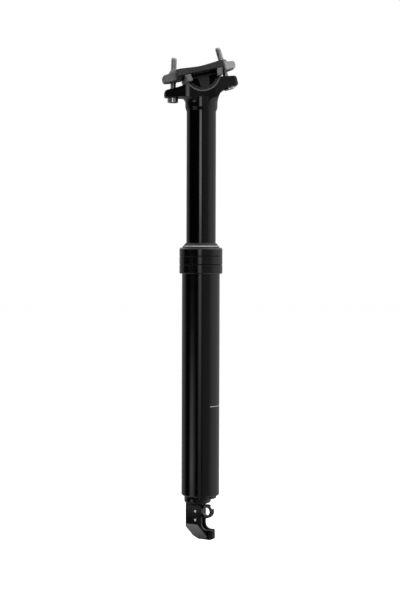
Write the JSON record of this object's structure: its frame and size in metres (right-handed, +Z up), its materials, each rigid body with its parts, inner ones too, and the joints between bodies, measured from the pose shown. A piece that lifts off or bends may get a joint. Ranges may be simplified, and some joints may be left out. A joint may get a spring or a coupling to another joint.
{
  "type": "dropper seatpost",
  "caption": "Height-adjustable bicycle seatpost: telescoping tubes, sealed collar, rocking two-bolt saddle clamp and a cable-worked lever at the foot.",
  "frame": {"origin": "on the post's axis at the collar's lower face, where the frame's seat tube ends", "axes": "+Z up along the post's axis, +X to the saddle's rear, +Y to the bicycle's left when seen from behind"},
  "size_m": [0.0634, 0.053, 0.4109],
  "materials": {
    "gloss_black": "gloss",
    "gloss_black_slide": "gloss",
    "satin_black": "satin",
    "forged_black": "satin",
    "black_steel": "satin",
    "dark_steel": "satin",
    "steel": "polished",
    "aluminium": "satin",
    "brass": "satin",
    "black_rubber": "matte",
    "bushing_plastic": "matte",
    "grey_foam": "matte"
  },
  "bodies": {
    "lower": {"lower_tube": "gloss_black", "seal_collar": "satin_black", "wiper_seal": "black_rubber", "wiper_wire_ring": "steel", "foam_ring": "grey_foam", "upper_bushing": "bushing_plastic", "cartridge_tube": "aluminium", "cartridge_rod_guide": "aluminium", "cartridge_rod_seal": "black_rubber", "cartridge_valve_body": "aluminium", "valve_spring": "steel", "end_plug": "aluminium", "end_plug_seal": "black_rubber", "lock_ring": "satin_black", "actuator_base": "satin_black", "actuator_bracket": "forged_black", "lever_pivot_pin": "steel", "lever_stop_pin": "steel", "push_rod": "steel"},
    "upper_post": {"upper_tube": "gloss_black_slide", "seatpost_head": "forged_black", "top_out_bumper": "black_rubber", "guide_keys": "brass", "guide_bushing": "bushing_plastic", "guide_clip": "steel", "cartridge_rod": "steel", "cartridge_piston": "aluminium", "cartridge_piston_seal": "black_rubber", "front_clamp_bolt": "dark_steel", "front_dome_washer": "black_steel"},
    "saddle_clamp": {"lower_clamp": "forged_black", "upper_clamp": "forged_black"},
    "front_nut": {"front_barrel_nut": "black_steel"},
    "rear_nut": {"rear_barrel_nut": "black_steel"},
    "rear_bolt": {"rear_clamp_bolt": "dark_steel", "rear_dome_washer": "black_steel"},
    "lever": {"cable_lever": "forged_black"}
  },
  "joints": [
    {"name": "post_slide", "type": "slide", "parent": "lower", "child": "upper_post", "axis": [0, 0, 1], "range_m": [-0.1, 0]},
    {"name": "clamp_tilt", "type": "hinge", "parent": "upper_post", "child": "saddle_clamp", "pos_m": [0, 0, 0.1666], "axis": [0, 1, 0], "range_deg": [-6, 8]},
    {"name": "front_nut_turn", "type": "hinge", "parent": "saddle_clamp", "child": "front_nut", "pos_m": [-0.02338, 0, 0.16603], "axis": [0, 1, 0], "range_deg": [-8.5, 6.5]},
    {"name": "rear_nut_turn", "type": "hinge", "parent": "saddle_clamp", "child": "rear_nut", "pos_m": [0.01753, 0, 0.1751], "axis": [0, 1, 0], "range_deg": [-8.5, 6.5]},
    {"name": "rear_bolt_swing", "type": "hinge", "parent": "upper_post", "child": "rear_bolt", "pos_m": [0.02363, 0, 0.15463], "axis": [0, 1, 0], "range_deg": [-1.5, 1.5]},
    {"name": "lever_turn", "type": "hinge", "parent": "lower", "child": "lever", "pos_m": [-0.00178, 0.00111, -0.1984], "axis": [0.5299, 0.848, 0], "range_deg": [0, 35], "stiffness_Nm_per_rad": 0.02, "springref_deg": -11.46}
  ],
  "couplings": [
    {"joint": "front_nut_turn", "follows": "clamp_tilt", "ratio": -1},
    {"joint": "rear_nut_turn", "follows": "clamp_tilt", "ratio": -0.87},
    {"joint": "rear_bolt_swing", "follows": "clamp_tilt", "ratio": 0.13}
  ]
}
